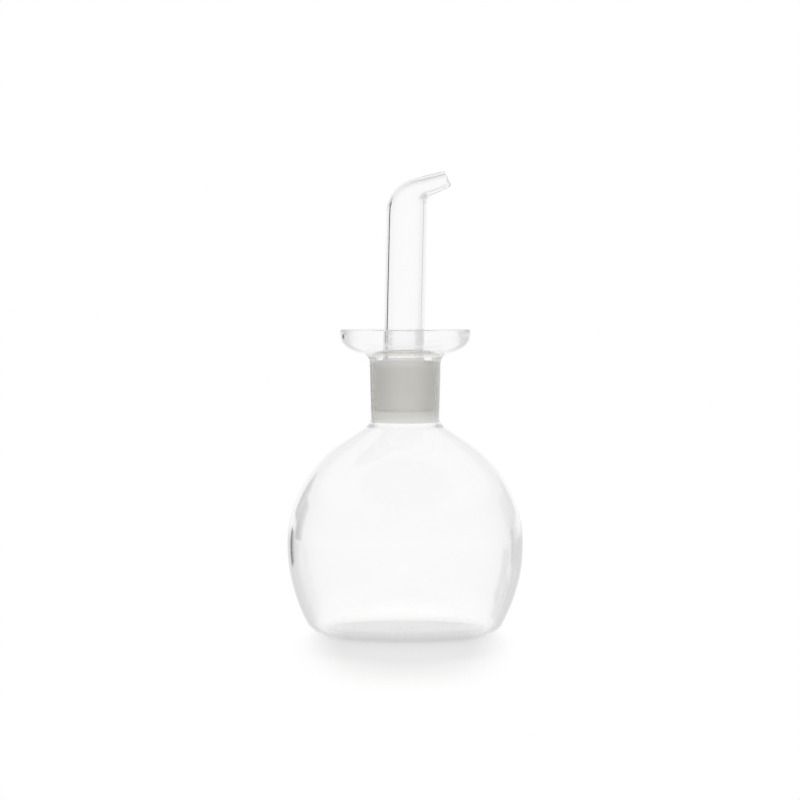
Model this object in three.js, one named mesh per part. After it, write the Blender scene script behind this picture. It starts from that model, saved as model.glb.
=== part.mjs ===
// A clear glass oil bottle in two pieces: a round bottle whose ground neck flares into a drip saucer,
// and a hollow ground pourer with a bent spout, which sits in that neck.
// Millimetres, +Z up. The bottle stands on Z = 0 about the Z axis, and the spout pours towards +X.
import * as THREE from "three";
import { ParametricGeometry } from "three/addons/geometries/ParametricGeometry.js";

// Body: nearly a sphere above its widest ring, a wider arc below it, and a small round foot
const bulbRadius = 52.5;
const bulbHeight = 40;
const crownRise = 53.4;
const lowerRadius = 74;
const footRadius = 9;
const shoulderAngle = THREE.MathUtils.degToRad(57);
const wall = 1.7;

// Neck, with its ground socket
const neckFootRadius = 15.2;
const neckTopRadius = 15.85;
const neckTop = 120.4;
const neckWall = 2;
const neckBlend = 2.8;
const socketTop = 121.3;

// Drip saucer: an elliptical bowl, a short rim drawn in a little, and a round lip
const saucerRadius = 29;
const saucerHeight = 133;
const saucerWall = 1.6;
const rimRise = 1.7;
const rimDraw = 0.2;
const lipRadius = 0.75;
const bowlReach = 19.3;
const bowlDepth = 10.2;
const bowlFloorDepth = 8.6;
const flareRadius = 18.2;

// Pourer's foot: a hollow ground cone with a flat round-edged shoulder
const jointGap = 0.25;
const coneBottom = 99.2;
const coneWall = 1.8;
const coneEdge = 0.6;
const shoulderHeight = 122.2;
const shoulderRound = 1.8;
const tubeFillet = 1.6;

// Pourer's spout: a tube that leans a little, drawn thin and bent over a tight inner corner
const tubeRadius = 9.1;
const tubeWall = 1.7;
const tubeFoot = -0.8;
const tubeLean = THREE.MathUtils.degToRad(1.3);
const bendHeight = 192.7;
const innerBend = 2.4;
const bendFrom = THREE.MathUtils.degToRad(-9);
const bendTo = THREE.MathUtils.degToRad(72);
const narrowing = 1.05;
const nozzleRootRadius = 4.6;
const nozzleTipRadius = 4.05;
const nozzleLength = 7.3;
const nozzleBore = 2.35;
const lipReach = 2.2;
const lipTilt = THREE.MathUtils.degToRad(86);
const mouthTilt = THREE.MathUtils.degToRad(62);

// Facets
const bottleSides = 56;
const pourerSides = 28;
const arcStep = 5;
const leastArcSteps = 4;
const leastGap = 0.02;
const bendSteps = 12;
const tubeSteps = 4;
const lipSteps = 4;

const glass = new THREE.MeshStandardMaterial({
  color: 0xf1f2ef,
  roughness: 0.04,
  metalness: 0,
  transparent: true,
  opacity: 0.3,
});

// The points of a path, with a line's two ends and an arc's even steps, and no point twice.
function pointsAlong(path) {
  const points = [path.curves[0].getPoint(0)];
  for (const curve of path.curves) {
    const arcSteps = Math.max(leastArcSteps, Math.ceil(curve.getLength() / arcStep));
    const steps = curve.isLineCurve ? 1 : arcSteps;
    for (const point of curve.getPoints(steps).slice(1)) {
      if (point.distanceTo(points.at(-1)) > leastGap) points.push(point);
    }
  }
  return points;
}

// One face of the body's wall, from the axis at its base up to the neck's foot. inset is 0 on the outside.
function bodyFace(inset, neckRadius) {
  const lowerCentre = bulbRadius - lowerRadius;
  const drop = bulbHeight - footRadius;
  const footCentre = lowerCentre + Math.sqrt((lowerRadius - footRadius) ** 2 - drop ** 2);
  const footTurn = -Math.atan2(drop, footCentre - lowerCentre);
  const reach = bulbRadius - inset;
  const rise = crownRise - inset;
  const leave = new THREE.Vector2(
    reach * Math.cos(shoulderAngle),
    bulbHeight + rise * Math.sin(shoulderAngle),
  );
  // The shoulder is a cone that touches the crown, up to its corner with the neck.
  const uphill = new THREE.Vector2(
    -reach * Math.sin(shoulderAngle),
    rise * Math.cos(shoulderAngle),
  ).normalize();
  const corner = leave.clone().addScaledVector(uphill, (neckRadius - leave.x) / uphill.x);
  const before = corner.clone().addScaledVector(uphill, -neckBlend);
  const path = new THREE.Path().moveTo(0, inset);
  path.lineTo(footCentre, inset);
  path.absarc(footCentre, footRadius, footRadius - inset, -Math.PI / 2, footTurn);
  path.absarc(lowerCentre, bulbHeight, lowerRadius - inset, footTurn, 0);
  path.absellipse(0, bulbHeight, reach, rise, 0, shoulderAngle);
  path.lineTo(before.x, before.y);
  path.quadraticCurveTo(corner.x, corner.y, neckRadius, corner.y + neckBlend);
  return pointsAlong(path);
}

// One face of the saucer, from the neck's top to the lip: a soft flare, part of an ellipse, and the rim.
function saucerFace(neckRadius, flareFrom, rimRadius, lipFrom, depth) {
  const centre = saucerRadius - bowlReach;
  const reach = rimRadius - centre;
  const turn = Math.acos((flareRadius - centre) / reach);
  const flareTo = saucerHeight - depth * Math.sin(turn);
  const slope = depth / (reach * Math.tan(turn));
  const path = new THREE.Path().moveTo(neckRadius, flareFrom);
  path.quadraticCurveTo(neckRadius, flareTo - slope * (flareRadius - neckRadius), flareRadius, flareTo);
  path.absellipse(centre, saucerHeight, reach, depth, -turn, 0);
  path.lineTo(lipFrom, saucerHeight + rimRise);
  return pointsAlong(path);
}

function bottleMesh() {
  const lipOutside = saucerRadius - rimDraw;
  const lipInside = lipOutside - 2 * lipRadius;
  const lip = new THREE.Path().absarc(lipOutside - lipRadius, saucerHeight + rimRise, lipRadius, 0, Math.PI);
  const outside = [
    ...bodyFace(0, neckFootRadius),
    ...saucerFace(neckTopRadius, neckTop, saucerRadius, lipOutside, bowlDepth),
  ];
  const inside = [
    ...bodyFace(wall, neckFootRadius - neckWall),
    ...saucerFace(neckTopRadius - neckWall, socketTop, saucerRadius - saucerWall, lipInside, bowlFloorDepth),
  ];
  const outline = [...outside, ...pointsAlong(lip).slice(1, -1), ...inside.reverse()];
  const geometry = new THREE.LatheGeometry(outline, bottleSides).rotateX(Math.PI / 2);
  const mesh = new THREE.Mesh(geometry, glass);
  mesh.name = "bottle";
  return mesh;
}

// The ground cone's radius at a height: the socket's own taper, less the gap between the ground faces.
function coneRadius(height) {
  const socketFoot = bodyFace(wall, neckFootRadius - neckWall).at(-1);
  const share = (height - socketFoot.y) / (socketTop - socketFoot.y);
  const socket = THREE.MathUtils.lerp(socketFoot.x, neckTopRadius - neckWall, share);
  return socket - jointGap;
}

const tubeAxisAt = (height) => tubeFoot + (height - shoulderHeight) * Math.tan(tubeLean);

// A ring of the pourer: its centre in the XZ plane, the tilt of its plane about Y, and its radius.
const ring = (x, z, tilt, radius) => ({ x, z, tilt, radius });

// Rings of one face of the cone, shoulder and the tube's foot. inset is 0 on the outside.
function coneRings(inset, tubeInset) {
  const coneTop = shoulderHeight - shoulderRound - inset;
  const foot = coneRadius(coneBottom) - inset;
  const top = coneRadius(coneTop) - inset;
  const tube = tubeRadius - tubeInset;
  const path = new THREE.Path().moveTo(foot, coneBottom);
  if (inset === 0) {
    path.moveTo(foot - coneEdge, coneBottom);
    path.quadraticCurveTo(foot, coneBottom, foot, coneBottom + coneEdge);
  }
  path.lineTo(top, coneTop);
  path.quadraticCurveTo(top, shoulderHeight - inset, top - shoulderRound, shoulderHeight - inset);
  path.lineTo(tube + tubeFillet, shoulderHeight - inset);
  path.quadraticCurveTo(tube, shoulderHeight - inset, tube, shoulderHeight - inset + tubeFillet);
  return pointsAlong(path).map((point) => {
    const inward = THREE.MathUtils.clamp((top - point.x) / (top - tube), 0, 1);
    const centre = point.y > coneTop ? inward * tubeFoot : 0;
    return ring(centre, point.y, 0, point.x);
  });
}

// Rings of one face of the bend, which fan about a pivot just outside the inner corner.
function bendRings() {
  const start = tubeAxisAt(bendHeight) + (tubeRadius + innerBend) * Math.cos(bendFrom);
  const rings = [];
  for (let step = 0; step <= bendSteps; step += 1) {
    const share = step / bendSteps;
    const tilt = THREE.MathUtils.lerp(bendFrom, bendTo, share);
    const wide = (1 - share) ** 2 * (1 + narrowing * share);
    const radius = THREE.MathUtils.lerp(nozzleRootRadius, tubeRadius, wide);
    const away = innerBend + radius;
    rings.push(ring(start - away * Math.cos(tilt), bendHeight + away * Math.sin(tilt), tilt, radius));
  }
  return rings;
}

// A ring that lies further along the nozzle from the last ring of the bend.
function nozzleRing(root, distance, tilt, radius) {
  const x = root.x + distance * Math.sin(bendTo);
  const z = root.z + distance * Math.cos(bendTo);
  return ring(x, z, tilt, radius);
}

// The outside of the pourer from the cone's foot to the nozzle's mouth, then its bore back down.
function pourerRings() {
  const cone = coneRings(0, 0);
  const coneBore = coneRings(coneWall, tubeWall);
  const bend = bendRings();
  const root = bend.at(-1);
  const tubeFrom = cone.at(-1).z;
  const straight = (radius) =>
    Array.from({ length: tubeSteps }, (_, step) => {
      const z = THREE.MathUtils.lerp(tubeFrom, bend[0].z, (step + 1) / (tubeSteps + 1));
      return ring(tubeAxisAt(z), z, tubeLean, radius);
    });
  // The mouth is fire polished: the outside rounds over to the bore, further back on its lower side.
  const mouth = Array.from({ length: lipSteps + 1 }, (_, step) => {
    const share = step / lipSteps;
    const turn = (share * Math.PI) / 2;
    const tilt = THREE.MathUtils.lerp(lipTilt, mouthTilt, share);
    const radius = THREE.MathUtils.lerp(nozzleBore, nozzleTipRadius, Math.cos(turn));
    return nozzleRing(root, nozzleLength + lipReach * Math.sin(turn), tilt, radius);
  });
  const nozzleWall = nozzleTipRadius - nozzleBore;
  const bore = bend.map((outer) => {
    const thick = (outer.radius - nozzleRootRadius) / (tubeRadius - nozzleRootRadius);
    return { ...outer, radius: outer.radius - THREE.MathUtils.lerp(nozzleWall, tubeWall, thick) };
  });
  return [
    ...cone,
    ...straight(tubeRadius),
    ...bend,
    nozzleRing(root, nozzleLength / 2, bendTo, (nozzleRootRadius + nozzleTipRadius) / 2),
    ...mouth,
    ...bore.reverse(),
    ...straight(tubeRadius - tubeWall).reverse(),
    ...coneBore.reverse(),
  ];
}

function pourerMesh() {
  const rings = pourerRings();
  const geometry = new ParametricGeometry(
    (around, along, target) => {
      const { x, z, tilt, radius } = rings[Math.round(along * rings.length) % rings.length];
      const angle = around * 2 * Math.PI;
      const across = radius * Math.cos(angle);
      target.set(x + across * Math.cos(tilt), radius * Math.sin(angle), z - across * Math.sin(tilt));
    },
    pourerSides,
    rings.length,
  );
  const mesh = new THREE.Mesh(geometry, glass);
  mesh.name = "pourer";
  return mesh;
}

const oilBottle = new THREE.Group();
oilBottle.add(bottleMesh(), pourerMesh());

export default oilBottle;
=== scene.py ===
# Glass oil bottle with a ground pourer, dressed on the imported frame. Blender 4.5, metres, +Z up.
import math
import bpy
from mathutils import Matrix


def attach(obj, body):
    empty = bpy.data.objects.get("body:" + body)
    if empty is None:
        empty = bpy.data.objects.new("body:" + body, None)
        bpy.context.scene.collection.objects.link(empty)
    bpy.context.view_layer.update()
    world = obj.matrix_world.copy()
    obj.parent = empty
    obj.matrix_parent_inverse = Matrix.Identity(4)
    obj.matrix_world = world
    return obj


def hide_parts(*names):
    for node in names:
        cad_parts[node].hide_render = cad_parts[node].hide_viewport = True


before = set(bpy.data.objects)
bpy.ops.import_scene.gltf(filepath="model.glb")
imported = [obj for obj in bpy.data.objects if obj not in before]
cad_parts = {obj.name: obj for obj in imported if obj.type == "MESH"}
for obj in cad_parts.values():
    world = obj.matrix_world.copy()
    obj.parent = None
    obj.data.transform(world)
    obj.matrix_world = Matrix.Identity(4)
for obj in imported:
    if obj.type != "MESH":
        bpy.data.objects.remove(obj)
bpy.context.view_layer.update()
mm = 0.001


def deselectAll():
    if bpy.context.object and bpy.context.object.mode != "OBJECT":
        bpy.ops.object.mode_set(mode="OBJECT")
    bpy.ops.object.select_all(action="DESELECT")


def lerp(start, end, share):
    return start + (end - start) * share


# sRGB hex to the linear colour that a socket takes
def hexColour(code):
    channels = [int(code[i:i + 2], 16) / 255 for i in (1, 3, 5)]
    linear = [c / 12.92 if c <= 0.04045 else ((c + 0.055) / 1.055) ** 2.4 for c in channels]
    return (*linear, 1.0)


# one node with its settings; links go from an output socket to one of its inputs
def addNode(tree, kind, inputs=None, links=None, **settings):
    node = tree.nodes.new(kind)
    for key, value in settings.items():
        setattr(node, key, value)
    for key, value in (inputs or {}).items():
        node.inputs[key].default_value = value
    for key, socket in (links or {}).items():
        tree.links.new(socket, node.inputs[key])
    return node


def newMaterial(name):
    material = bpy.data.materials.new(name)
    material.use_nodes = True
    tree = material.node_tree
    tree.nodes.clear()
    return material, tree


# noise with lumps of a real size in mm
def addNoise(tree, place, size, detail):
    return addNode(tree, "ShaderNodeTexNoise", {"Scale": 1 / (size * mm), "Detail": detail},
                   {"Vector": place})


# a pattern's range of values spread over the roughness of a glass
def addRoughness(tree, pattern, span, s):
    return addNode(tree, "ShaderNodeMapRange",
                   {"From Min": span[0], "From Max": span[1],
                    "To Min": s["roughLow"], "To Max": s["roughHigh"]},
                   {"Value": pattern})


def addGlassShader(tree, s, rough, bump):
    shader = addNode(tree, "ShaderNodeBsdfPrincipled",
                     {"Base Color": hexColour(s["colour"]), "IOR": s["ior"], "Transmission Weight": 1.0},
                     {"Roughness": rough.outputs["Result"], "Normal": bump.outputs["Normal"]},
                     distribution=s["lobe"])
    addNode(tree, "ShaderNodeOutputMaterial", None, {"Surface": shader.outputs["BSDF"]})


# Camera: a long lens a little above the saucer, looking slightly down
cameraSettings = {
    "distance": 1.437,
    "height": 0.1504,
    "aside": -0.0023,   # the bottle stands a little right of the picture's middle
    "tilt": 1.848,      # degrees down
    "lens": 145.3,
    "sensor": 36.0,
}


def addCamera(s):
    deselectAll()
    turn = (math.radians(90 - s["tilt"]), 0, 0)
    bpy.ops.object.camera_add(location=(s["aside"], -s["distance"], s["height"]), rotation=turn)
    camera = bpy.context.object
    camera.name = "photoCamera"
    camera.data.lens = s["lens"]
    camera.data.sensor_width = s["sensor"]
    bpy.context.scene.camera = camera
    print("camera placed")


# Clear borosilicate glass, blown and fire polished: colourless and sharp, with faint slow waves in the wall
clearGlass = {
    "colour": "#FEFEFE",
    "lobe": "MULTI_GGX",
    "ior": 1.473,
    "roughLow": 0.0,
    "roughHigh": 0.012,
    "smearSize": 26.0,           # mm, faint haze left by washing
    "smearDetail": 3.0,
    "smearRange": (0.35, 0.75),  # the part of the noise that runs from polished to hazy
    "waveSize": 17.0,            # mm, how far apart the blown waves are
    "waveDetail": 1.0,
    "waveDepth": 0.02,           # mm
}


def clearGlassMaterial(s):
    material, tree = newMaterial("borosilicateGlassClear")
    place = addNode(tree, "ShaderNodeTexCoord").outputs["Object"]
    smear = addNoise(tree, place, s["smearSize"], s["smearDetail"])
    rough = addRoughness(tree, smear.outputs["Fac"], s["smearRange"], s)
    wave = addNoise(tree, place, s["waveSize"], s["waveDetail"])
    bump = addNode(tree, "ShaderNodeBump", {"Strength": 1.0, "Distance": s["waveDepth"] * mm},
                   {"Height": wave.outputs["Fac"]})
    addGlassShader(tree, s, rough, bump)
    return material


# Ground glass, lapped with wet grit: matt and milky, with fine lines round the joint
groundGlass = {
    "name": "borosilicateGlassGround",
    "colour": "#DBD9D4",
    "lobe": "MULTI_GGX",
    "ior": 1.473,
    "roughLow": 0.5,
    "roughHigh": 0.64,
    "gritSize": 0.5,           # mm; the real grit is nearer 0.05, too fine to see, so it is drawn coarser
    "lineSize": 0.9,           # mm between lapping lines, drawn coarser for the same reason
    "lineStretch": 0.05,       # the lines' noise is drawn out sideways by one over this
    "gritDetail": 2.0,
    "gritRange": (0.6, 1.4),   # the part of the summed noise that runs from fine to coarse
    "gritDepth": 0.012,        # mm
    "gritStrength": 0.5,
}
# the cone is ground finer than the socket: it lets more light through, and dims towards its edges
groundCone = {
    **groundGlass,
    "name": "borosilicateGlassGroundFine",
    "colour": "#FFFEFC",
    "lobe": "GGX",
    "roughLow": 0.42,
    "roughHigh": 0.55,
}


def groundGlassMaterial(s):
    material, tree = newMaterial(s["name"])
    place = addNode(tree, "ShaderNodeTexCoord").outputs["Object"]
    grit = addNoise(tree, place, s["gritSize"], s["gritDetail"])
    stretch = addNode(tree, "ShaderNodeMapping", {"Scale": (s["lineStretch"], s["lineStretch"], 1.0)},
                      {"Vector": place})
    lines = addNoise(tree, stretch.outputs["Vector"], s["lineSize"], s["gritDetail"])
    both = addNode(tree, "ShaderNodeMath", None, {0: grit.outputs["Fac"], 1: lines.outputs["Fac"]},
                   operation="ADD")
    rough = addRoughness(tree, both.outputs["Value"], s["gritRange"], s)
    bump = addNode(tree, "ShaderNodeBump", {"Strength": s["gritStrength"], "Distance": s["gritDepth"] * mm},
                   {"Height": both.outputs["Value"]})
    addGlassShader(tree, s, rough, bump)
    return material


# points along part of an ellipse, as (radius, height); angles in degrees
def arcPoints(centre, reach, rise, start, end, steps):
    points = []
    for step in range(steps + 1):
        angle = math.radians(lerp(start, end, step / steps))
        points.append((centre[0] + reach * math.cos(angle), centre[1] + rise * math.sin(angle)))
    return points


# points along a soft corner that leaves and arrives along its two straight sides
def softCorner(start, corner, end, steps):
    points = []
    for step in range(steps + 1):
        t = step / steps
        points.append(tuple(
            (1 - t) ** 2 * a + 2 * t * (1 - t) * b + t ** 2 * c for a, b, c in zip(start, corner, end)))
    return points


# extra points along the long straight stretches keep the smooth shading of each corner to itself
def splitLong(points, longest):
    split = [points[0]]
    for last, point in zip(points, points[1:]):
        parts = max(1, math.ceil(math.dist(last[:2], point[:2]) / longest))
        for part in range(1, parts + 1):
            split.append(tuple(lerp(a, b, part / parts) for a, b in zip(last, point)))
    return split


# faces inside a band of heights, on the wall that the test picks, get the second material
def grindFaces(piece, low, high, onWall):
    deselectAll()
    bpy.context.view_layer.objects.active = piece
    piece.select_set(True)
    bpy.ops.object.mode_set(mode="EDIT")
    bpy.ops.mesh.select_mode(type="FACE")
    bpy.ops.mesh.select_all(action="DESELECT")
    bpy.ops.object.mode_set(mode="OBJECT")
    for face in piece.data.polygons:
        face.select = low < face.center.z < high and onWall(face)
    bpy.ops.object.mode_set(mode="EDIT")
    piece.active_material_index = 1
    bpy.ops.object.material_slot_assign()
    bpy.ops.mesh.select_mode(type="VERT")
    bpy.ops.object.mode_set(mode="OBJECT")


def finishGlass(piece, materials, node):
    deselectAll()
    bpy.context.view_layer.objects.active = piece
    piece.select_set(True)
    bpy.ops.object.transform_apply(location=True, rotation=True, scale=True)
    bpy.ops.object.shade_smooth()
    for material in materials:
        piece.data.materials.append(material)
    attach(piece, "root")
    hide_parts(node)
    print(piece.name, "has", len(piece.data.polygons), "faces")


# Bottle, sizes in mm
bottleSettings = {
    "bulbRadius": 52.5,
    "bulbHeight": 40.0,
    "crownRise": 53.4,
    "lowerRadius": 74.0,
    "footRadius": 9.0,
    "shoulderAngle": 57.0,
    "wall": 1.7,
    "neckFootRadius": 15.2,
    "neckTopRadius": 15.85,
    "neckTop": 120.4,
    "neckWall": 2.0,
    "neckBlend": 2.8,
    "socketTop": 121.3,
    "groundBottom": 93.9,
    "groundTop": 122.4,
    "saucerRadius": 29.0,
    "saucerHeight": 133.0,
    "saucerWall": 1.6,
    "rimRise": 1.7,
    "rimDraw": 0.2,
    "lipRadius": 0.75,
    "bowlReach": 19.3,
    "bowlDepth": 10.2,
    "bowlFloorDepth": 8.6,
    "flareRadius": 18.2,
    "grindClear": 0.5,   # how far inside the middle of the neck's wall a ground face has to lie
    "turns": 192,        # faces round the bottle
    "longest": 2.5,      # of a face along the outline
    "weld": 0.004,
    "footSteps": 16,
    "lowerSteps": 20,
    "crownSteps": 32,
    "neckSteps": 10,
    "flareSteps": 12,
    "bowlSteps": 24,
    "lipSteps": 12,
}


# one face of the body's wall, from the axis up to the neck's foot
def bodyFace(s, inset, neckRadius):
    lowerCentre = s["bulbRadius"] - s["lowerRadius"]
    drop = s["bulbHeight"] - s["footRadius"]
    footCentre = lowerCentre + math.sqrt((s["lowerRadius"] - s["footRadius"]) ** 2 - drop ** 2)
    footTurn = -math.degrees(math.atan2(drop, footCentre - lowerCentre))
    foot = s["footRadius"] - inset
    lower = s["lowerRadius"] - inset
    reach = s["bulbRadius"] - inset
    rise = s["crownRise"] - inset
    angle = math.radians(s["shoulderAngle"])
    leave = (reach * math.cos(angle), s["bulbHeight"] + rise * math.sin(angle))
    slope = rise * math.cos(angle) / (-reach * math.sin(angle))
    corner = (neckRadius, leave[1] + slope * (neckRadius - leave[0]))
    back = s["neckBlend"] / math.hypot(1, slope)
    before = (corner[0] + back, corner[1] + slope * back)
    after = (neckRadius, corner[1] + s["neckBlend"])
    return [
        (0.0, inset),
        *arcPoints((footCentre, s["footRadius"]), foot, foot, -90, footTurn, s["footSteps"]),
        *arcPoints((lowerCentre, s["bulbHeight"]), lower, lower, footTurn, 0, s["lowerSteps"])[1:],
        *arcPoints((0.0, s["bulbHeight"]), reach, rise, 0, s["shoulderAngle"], s["crownSteps"])[1:],
        *softCorner(before, corner, after, s["neckSteps"]),
    ]


# one face of the saucer, from the top of the neck up its rim
def saucerFace(s, neckRadius, flareFrom, rimRadius, lipFrom, depth):
    centre = s["saucerRadius"] - s["bowlReach"]
    reach = rimRadius - centre
    turn = math.acos((s["flareRadius"] - centre) / reach)
    flareTo = s["saucerHeight"] - depth * math.sin(turn)
    slope = depth / (reach * math.tan(turn))
    corner = (neckRadius, flareTo - slope * (s["flareRadius"] - neckRadius))
    return [
        *softCorner((neckRadius, flareFrom), corner, (s["flareRadius"], flareTo), s["flareSteps"]),
        *arcPoints((centre, s["saucerHeight"]), reach, depth, -math.degrees(turn), 0, s["bowlSteps"])[1:],
        (lipFrom, s["saucerHeight"] + s["rimRise"]),
    ]


def bottleOutline(s):
    lipOutside = s["saucerRadius"] - s["rimDraw"]
    lipInside = lipOutside - 2 * s["lipRadius"]
    lipCentre = (lipOutside - s["lipRadius"], s["saucerHeight"] + s["rimRise"])
    socketFoot = s["neckFootRadius"] - s["neckWall"]
    socketMouth = s["neckTopRadius"] - s["neckWall"]
    inside = bodyFace(s, s["wall"], socketFoot)
    inside += saucerFace(s, socketMouth, s["socketTop"], s["saucerRadius"] - s["saucerWall"], lipInside,
                         s["bowlFloorDepth"])
    return splitLong([
        *bodyFace(s, 0.0, s["neckFootRadius"]),
        *saucerFace(s, s["neckTopRadius"], s["neckTop"], s["saucerRadius"], lipOutside, s["bowlDepth"]),
        *arcPoints(lipCentre, s["lipRadius"], s["lipRadius"], 0, 180, s["lipSteps"])[1:-1],
        *reversed(inside),
    ], s["longest"])


def addBottle(s, materials):
    outline = bottleOutline(s)
    deselectAll()
    bpy.ops.mesh.primitive_plane_add(size=mm)
    piece = bpy.context.object
    piece.name = "bottleGlass"
    bpy.ops.object.mode_set(mode="EDIT")
    bpy.ops.mesh.select_all(action="SELECT")
    bpy.ops.mesh.merge(type="CENTER")   # one point on the axis, drawn out along the glass's cut outline
    for last, point in zip(outline, outline[1:]):
        move = ((point[0] - last[0]) * mm, 0, (point[1] - last[1]) * mm)
        bpy.ops.mesh.extrude_region_move(TRANSFORM_OT_translate={"value": move})
    bpy.ops.mesh.select_all(action="SELECT")
    bpy.ops.mesh.spin(steps=s["turns"], angle=2 * math.pi, center=(0, 0, 0), axis=(0, 0, 1))
    bpy.ops.mesh.select_all(action="SELECT")
    bpy.ops.mesh.remove_doubles(threshold=s["weld"] * mm)
    bpy.ops.mesh.normals_make_consistent(inside=False)
    bpy.ops.object.mode_set(mode="OBJECT")
    finishGlass(piece, materials, "bottle")
    innerSide = (s["neckTopRadius"] - s["neckWall"] / 2 - s["grindClear"]) * mm
    grindFaces(piece, s["groundBottom"] * mm, s["groundTop"] * mm,
               lambda face: math.hypot(face.center.x, face.center.y) < innerSide)


# Pourer, sizes in mm
pourerSettings = {
    "jointGap": 0.25,
    "coneBottom": 99.2,
    "coneWall": 1.8,
    "coneEdge": 0.6,
    "shoulderHeight": 122.2,
    "shoulderRound": 1.8,
    "tubeFillet": 1.6,
    "tubeRadius": 9.1,
    "tubeWall": 1.7,
    "tubeFoot": -0.8,
    "tubeLean": 1.3,
    "bendHeight": 192.7,
    "innerBend": 2.4,
    "bendFrom": -9.0,
    "bendTo": 72.0,
    "narrowing": 1.05,
    "nozzleRootRadius": 4.6,
    "nozzleTipRadius": 4.05,
    "nozzleLength": 7.3,
    "nozzleBore": 2.35,
    "lipReach": 2.2,
    "lipTilt": 86.0,
    "mouthTilt": 62.0,
    "mouthEdge": 0.4,
    "straightFrom": 6.0,   # the straight stretch's first ring stands this far over the tube's fillet
    "straightTo": 8.0,     # and its last ring this far under the bend
    "sides": 96,
    "longest": 1.5,        # of a face along the tube
    "edgeSteps": 5,
    "shoulderSteps": 8,
    "bendSteps": 44,
    "nozzleSteps": 6,
    "lipSteps": 12,
}


def coneRadius(p, b, height):
    socketFoot = bodyFace(b, b["wall"], b["neckFootRadius"] - b["neckWall"])[-1]
    share = (height - socketFoot[1]) / (b["socketTop"] - socketFoot[1])
    return lerp(socketFoot[0], b["neckTopRadius"] - b["neckWall"], share) - p["jointGap"]


def tubeAxisAt(p, height):
    return p["tubeFoot"] + (height - p["shoulderHeight"]) * math.tan(math.radians(p["tubeLean"]))


# a ring is its centre's x and z, the tilt of its plane in degrees, and its radius
def coneRings(p, b, inset, tubeInset):
    coneTop = p["shoulderHeight"] - p["shoulderRound"] - inset
    foot = coneRadius(p, b, p["coneBottom"]) - inset
    top = coneRadius(p, b, coneTop) - inset
    tube = p["tubeRadius"] - tubeInset
    flat = p["shoulderHeight"] - inset
    points = [(foot, p["coneBottom"])]
    if inset == 0:
        points = softCorner((foot - p["coneEdge"], p["coneBottom"]), (foot, p["coneBottom"]),
                            (foot, p["coneBottom"] + p["coneEdge"]), p["edgeSteps"])
    points += softCorner((top, coneTop), (top, flat), (top - p["shoulderRound"], flat), p["shoulderSteps"])
    points += softCorner((tube + p["tubeFillet"], flat), (tube, flat), (tube, flat + p["tubeFillet"]),
                         p["shoulderSteps"])
    rings = []
    for radius, height in points:
        inward = min(max((top - radius) / (top - tube), 0), 1)
        rings.append((inward * p["tubeFoot"] if height > coneTop else 0.0, height, 0.0, radius))
    return rings


# the bend's rings fan about a pivot just outside the inner corner, and narrow as they go round
def bendRings(p):
    pivot = tubeAxisAt(p, p["bendHeight"])
    pivot += (p["tubeRadius"] + p["innerBend"]) * math.cos(math.radians(p["bendFrom"]))
    rings = []
    for step in range(p["bendSteps"] + 1):
        share = step / p["bendSteps"]
        tilt = lerp(p["bendFrom"], p["bendTo"], share)
        wide = (1 - share) ** 2 * (1 + p["narrowing"] * share)
        radius = lerp(p["nozzleRootRadius"], p["tubeRadius"], wide)
        away = p["innerBend"] + radius
        angle = math.radians(tilt)
        x = pivot - away * math.cos(angle)
        z = p["bendHeight"] + away * math.sin(angle)
        rings.append((x, z, tilt, radius))
    return rings


def nozzleRing(p, root, distance, tilt, radius):
    angle = math.radians(p["bendTo"])
    return (root[0] + distance * math.sin(angle), root[1] + distance * math.cos(angle), tilt, radius)


# the outside from the cone's foot to the mouth, then the bore back down
def pourerRings(p, b):
    cone = coneRings(p, b, 0, 0)
    coneBore = coneRings(p, b, p["coneWall"], p["tubeWall"])
    bend = bendRings(p)
    root = bend[-1]
    nozzleWall = p["nozzleTipRadius"] - p["nozzleBore"]
    mouthBore = p["nozzleBore"] + p["mouthEdge"]
    mouthAt = p["nozzleLength"] + p["lipReach"]

    # the tube leans between a ring over its foot and one under its bend
    def straight(radius):
        ends = (cone[-1][1] + p["straightFrom"], bend[0][1] - p["straightTo"])
        return [(tubeAxisAt(p, height), height, p["tubeLean"], radius) for height in ends]

    nozzle = []
    for step in range(1, p["nozzleSteps"]):
        share = step / p["nozzleSteps"]
        nozzle.append(nozzleRing(p, root, p["nozzleLength"] * share,
                                 lerp(p["bendTo"], p["lipTilt"], share ** 2),
                                 lerp(p["nozzleRootRadius"], p["nozzleTipRadius"], share)))
    mouth = []
    edge = []
    for step in range(p["lipSteps"] + 1):
        share = step / p["lipSteps"]
        turn = math.radians(90 * share)
        mouth.append(nozzleRing(p, root, p["nozzleLength"] + p["lipReach"] * math.sin(turn),
                                lerp(p["lipTilt"], p["mouthTilt"], share),
                                lerp(mouthBore, p["nozzleTipRadius"], math.cos(turn))))
        edge.append(nozzleRing(p, root, mouthAt - p["mouthEdge"] * (1 - math.cos(turn)), p["mouthTilt"],
                               mouthBore - p["mouthEdge"] * math.sin(turn)))
    bore = []
    for x, z, tilt, radius in bend:
        thick = (radius - p["nozzleRootRadius"]) / (p["tubeRadius"] - p["nozzleRootRadius"])
        bore.append((x, z, tilt, radius - lerp(nozzleWall, p["tubeWall"], thick)))
    return splitLong([
        *cone, *straight(p["tubeRadius"]), *bend, *nozzle, *mouth, *edge[1:],
        *reversed(bore), *reversed(straight(p["tubeRadius"] - p["tubeWall"])), *reversed(coneBore),
    ], p["longest"])


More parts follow.
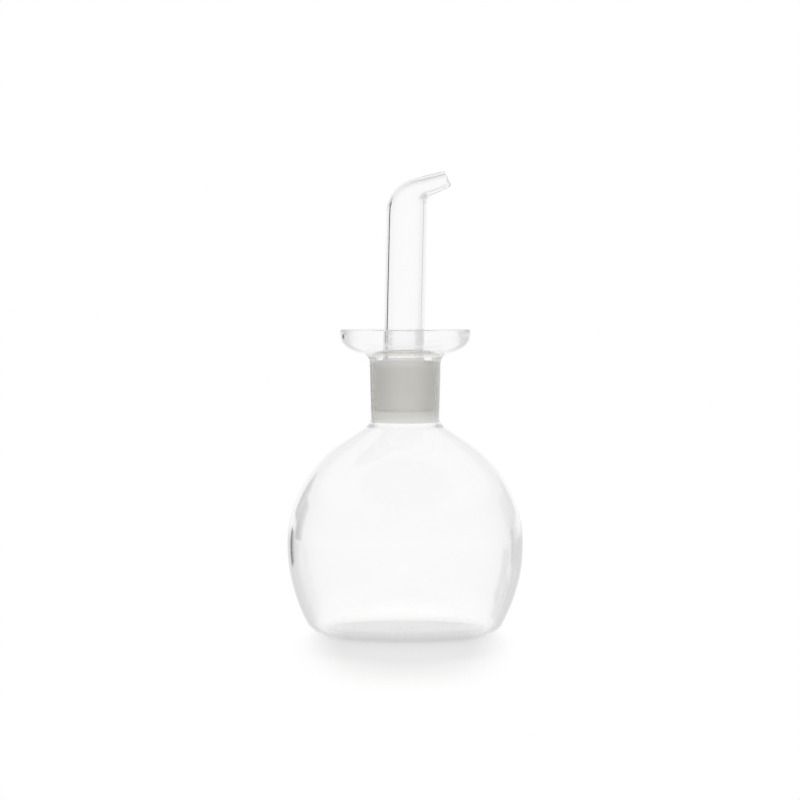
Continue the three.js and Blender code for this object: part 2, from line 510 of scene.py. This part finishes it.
def addPourer(p, b, materials):
    rings = pourerRings(p, b)
    x, z, tilt, radius = rings[0]
    deselectAll()
    bpy.ops.mesh.primitive_circle_add(vertices=p["sides"], radius=radius * mm, location=(x * mm, 0, z * mm))
    piece = bpy.context.object
    piece.name = "pourerGlass"
    bpy.ops.object.mode_set(mode="EDIT")
    bpy.ops.mesh.select_all(action="SELECT")
    for last, ring in zip(rings, rings[1:]):
        centre = (ring[0] * mm, 0, ring[1] * mm)
        move = ((ring[0] - last[0]) * mm, 0, (ring[1] - last[1]) * mm)
        grow = ring[3] / last[3]
        bpy.ops.mesh.extrude_region_move(TRANSFORM_OT_translate={"value": move})
        bpy.ops.transform.resize(value=(grow, grow, grow), center_override=centre)
        if ring[2] != last[2]:
            # with no window the turn goes the other way round
            bpy.ops.transform.rotate(value=-math.radians(ring[2] - last[2]), orient_axis="Y",
                                     center_override=centre)
    bpy.ops.mesh.select_all(action="DESELECT")
    bpy.ops.mesh.select_non_manifold()
    bpy.ops.mesh.bridge_edge_loops()   # the cone's foot: outside to bore
    bpy.ops.mesh.select_all(action="SELECT")
    bpy.ops.mesh.normals_make_consistent(inside=False)
    bpy.ops.object.mode_set(mode="OBJECT")
    finishGlass(piece, materials, "pourer")
    coneTop = p["shoulderHeight"] - p["shoulderRound"]
    innerFace = (coneRadius(p, b, p["coneBottom"]) - p["coneWall"] / 2) * mm
    grindFaces(piece, (p["coneBottom"] + p["coneEdge"] / 2) * mm, coneTop * mm,
               lambda face: math.hypot(face.center.x, face.center.y) > innerFace)


# Studio: a pale floor that fades into a plain white backdrop, one wide soft light from above and behind,
# and the room that shows in the glass
studioSettings = {
    "floorColour": "#888887",
    "floorGlow": 0.635,            # painted light: the floor glows by itself, in place of light from below, so that it meets the white backdrop
    "floorRough": (0.8, 0.95),
    "grainSize": 2.0,              # mm
    "grainDetail": 2.0,
    "floorSize": 0.9,
    "floorMiddle": -0.06,          # metres towards the camera
    "floorReach": (0.025, 0.12),   # metres of full floor along X and Y, which fades out over as much again
    "sunPlace": (0, 1, 1),
    "sunStrength": 5.9,
    "sunSpread": 30.0,             # degrees
    "sunBack": -58.0,              # degrees from straight down
    "backdrop": 1.0,               # the plain white that the camera sees past the glass
    # the room in the glass: its brightness by the angle from straight behind the bottle, left to right,
    # in degrees, for the wall and for the table below it
    "wall": [(-180, 0.9), (-100, 0.88), (-62, 0.85), (-26, 0.93), (-9, 0.97), (-4, 0.99),
             (4, 0.99), (9, 0.97), (26, 0.92), (62, 0.85), (100, 0.88), (180, 0.9)],
    "table": [(-180, 0.85), (-100, 0.75), (-60, 0.6), (-22, 0.72), (-9.5, 0.75), (-7.6, 0.93), (-4, 0.99),
              (4, 0.99), (7.6, 0.93), (9.5, 0.75), (30, 0.68), (60, 0.6), (100, 0.75), (180, 0.85)],
    "wallFoot": (-0.06, -0.02),      # heights from -1 to 1 between which the table turns into the wall
    "ceiling": (0.05, 0.4, 0.84),    # heights where the ceiling starts and is full, and its brightness
    "sheet": (-0.38, -0.55, 0.95),   # the same for the white sheet on the table
    # cards draw the glass's inner edges: how far round they reach in degrees, how high from -1 to 1, and
    # how bright they are; two dark ones and a grey one stand on the left, two pale ones on the right,
    # and the last two, one low and one overhead, draw the spout's edges
    "cards": [
        {"round": (-56, -43), "high": (-0.02, 0.25), "bright": 0.03},
        {"round": (-36, -27.5), "high": (-0.13, -0.01), "bright": 0.03},
        {"round": (-43, -29), "high": (0.07, 0.3), "bright": 0.4},
        {"round": (27, 45), "high": (0.06, 0.25), "bright": 0.7},
        {"round": (47, 58), "high": (-0.02, 0.3), "bright": 0.62},
        {"round": (15, 60), "high": (-0.93, -0.8), "bright": 0.55},
        {"round": (-70, -5), "high": (0.8, 0.95), "bright": 0.5},
    ],
    "cardBlurRound": 2.0,
    "cardBlurHigh": 0.015,
}


# the floor is matt paint with a faint grain, which takes a soft shadow and shows no shine, and it glows a
# little by itself, painted light that lifts it to the white of the backdrop
def addFloor(s):
    deselectAll()
    bpy.ops.mesh.primitive_plane_add(size=s["floorSize"])
    floor = bpy.context.object
    floor.name = "studioFloor"
    material, tree = newMaterial("paintedFloor")
    place = addNode(tree, "ShaderNodeTexCoord").outputs["Object"]
    grain = addNoise(tree, place, s["grainSize"], s["grainDetail"])
    rough = addNode(tree, "ShaderNodeMapRange", {"To Min": s["floorRough"][0], "To Max": s["floorRough"][1]},
                    {"Value": grain.outputs["Fac"]})
    across, along = s["floorReach"]
    spread = addNode(tree, "ShaderNodeMapping",
                     {"Location": (0, -s["floorMiddle"] / along, 0), "Scale": (1 / across, 1 / along, 0)},
                     {"Vector": place})
    away = addNode(tree, "ShaderNodeVectorMath", None, {0: spread.outputs["Vector"]}, operation="LENGTH")
    fade = addNode(tree, "ShaderNodeMapRange",
                   {"From Min": 1.0, "From Max": 2.0, "To Min": 1.0, "To Max": 0.0},
                   {"Value": away.outputs["Value"]}, interpolation_type="SMOOTHSTEP")
    # the emission is painted light: the floor gives off a glow of its own that no lamp gives it
    shader = addNode(tree, "ShaderNodeBsdfPrincipled",
                     {"Base Color": hexColour(s["floorColour"]), "Specular IOR Level": 0.0,
                      "Emission Color": (1, 1, 1, 1), "Emission Strength": s["floorGlow"]},
                     {"Roughness": rough.outputs["Result"], "Alpha": fade.outputs["Result"]})
    addNode(tree, "ShaderNodeOutputMaterial", None, {"Surface": shader.outputs["BSDF"]})
    floor.data.materials.append(material)
    print("floor laid")


def addLight(s):
    deselectAll()
    turn = (math.radians(s["sunBack"]), 0, 0)
    bpy.ops.object.light_add(type="SUN", location=s["sunPlace"], rotation=turn)
    sun = bpy.context.object
    sun.name = "softBackLight"
    sun.data.energy = s["sunStrength"]
    sun.data.angle = math.radians(s["sunSpread"])
    sun.visible_glossy = False         # it lights the floor only, so that no lamp glares in the glass
    sun.visible_transmission = False
    print("light placed")


# a value that is 1 between two limits and fades to 0 outside them
def between(tree, value, limits, blur):
    low, high = limits
    rise = addNode(tree, "ShaderNodeMapRange", {"From Min": low - blur, "From Max": low}, {"Value": value})
    fall = addNode(tree, "ShaderNodeMapRange", {"From Min": high + blur, "From Max": high}, {"Value": value})
    both = addNode(tree, "ShaderNodeMath", None, {0: rise.outputs["Result"], 1: fall.outputs["Result"]},
                   operation="MULTIPLY")
    return both.outputs["Value"]


def grey(bright):
    return (bright, bright, bright, 1)


# a brightness for each angle round the bottle
def angleRamp(tree, share, angles):
    ramp = addNode(tree, "ShaderNodeValToRGB", None, {"Fac": share})
    stops = ramp.color_ramp.elements
    while len(stops) < len(angles):
        stops.new(0.5)
    for stop, (degrees, bright) in zip(stops, angles):
        stop.position = (degrees + 180) / 360
        stop.color = grey(bright)
    return ramp


def addRoom(s):
    world = bpy.data.worlds.new("studioRoom")
    bpy.context.scene.world = world
    world.use_nodes = True
    tree = world.node_tree
    tree.nodes.clear()
    direction = addNode(tree, "ShaderNodeSeparateXYZ", None,
                        {"Vector": addNode(tree, "ShaderNodeTexCoord").outputs["Generated"]})
    height = direction.outputs["Z"]
    turn = addNode(tree, "ShaderNodeMath", None, {0: direction.outputs["X"], 1: direction.outputs["Y"]},
                   operation="ARCTAN2")
    degrees = addNode(tree, "ShaderNodeMath", None, {0: turn.outputs["Value"]}, operation="DEGREES")
    angle = degrees.outputs["Value"]
    share = addNode(tree, "ShaderNodeMapRange", {"From Min": -180.0, "From Max": 180.0}, {"Value": angle})
    wall = angleRamp(tree, share.outputs["Result"], s["wall"])
    table = angleRamp(tree, share.outputs["Result"], s["table"])
    rise = addNode(tree, "ShaderNodeMapRange", {"From Min": s["wallFoot"][0], "From Max": s["wallFoot"][1]},
                   {"Value": height})
    room = addNode(tree, "ShaderNodeMixRGB", None,
                   {"Fac": rise.outputs["Result"], "Color1": table.outputs["Color"],
                    "Color2": wall.outputs["Color"]})
    for edge, full, bright in (s["ceiling"], s["sheet"]):
        fill = addNode(tree, "ShaderNodeMapRange", {"From Min": edge, "From Max": full}, {"Value": height},
                       interpolation_type="SMOOTHSTEP")
        room = addNode(tree, "ShaderNodeMixRGB", {"Color2": grey(bright)},
                       {"Fac": fill.outputs["Result"], "Color1": room.outputs["Color"]})
    for card in s["cards"]:
        across = between(tree, angle, card["round"], s["cardBlurRound"])
        upright = between(tree, height, card["high"], s["cardBlurHigh"])
        patch = addNode(tree, "ShaderNodeMath", None, {0: across, 1: upright}, operation="MULTIPLY")
        room = addNode(tree, "ShaderNodeMixRGB", {"Color2": grey(card["bright"])},
                       {"Fac": patch.outputs["Value"], "Color1": room.outputs["Color"]})
    direct = addNode(tree, "ShaderNodeLightPath").outputs["Is Camera Ray"]
    room = addNode(tree, "ShaderNodeMixRGB", {"Color2": grey(s["backdrop"])},
                   {"Fac": direct, "Color1": room.outputs["Color"]})
    background = addNode(tree, "ShaderNodeBackground", {"Strength": 1.0}, {"Color": room.outputs["Color"]})
    addNode(tree, "ShaderNodeOutputWorld", None, {"Surface": background.outputs["Background"]})
    print("room lit")


def setLook(scene):
    scene.view_settings.view_transform = "Standard"
    bounces = 96   # light runs a long way inside the glass, and is lost where it is cut short
    scene.cycles.max_bounces = bounces
    scene.cycles.transmission_bounces = bounces
    scene.cycles.glossy_bounces = bounces
    scene.cycles.caustics_reflective = False
    scene.cycles.caustics_refractive = False
    scene.cycles.blur_glossy = 0.0   # the ground glass keeps all its light
    scene.cycles.use_denoising = True
    print("look set")


addCamera(cameraSettings)
clear = clearGlassMaterial(clearGlass)
addBottle(bottleSettings, [clear, groundGlassMaterial(groundGlass)])
addPourer(pourerSettings, bottleSettings, [clear, groundGlassMaterial(groundCone)])
addFloor(studioSettings)
addLight(studioSettings)
addRoom(studioSettings)
setLook(bpy.context.scene)
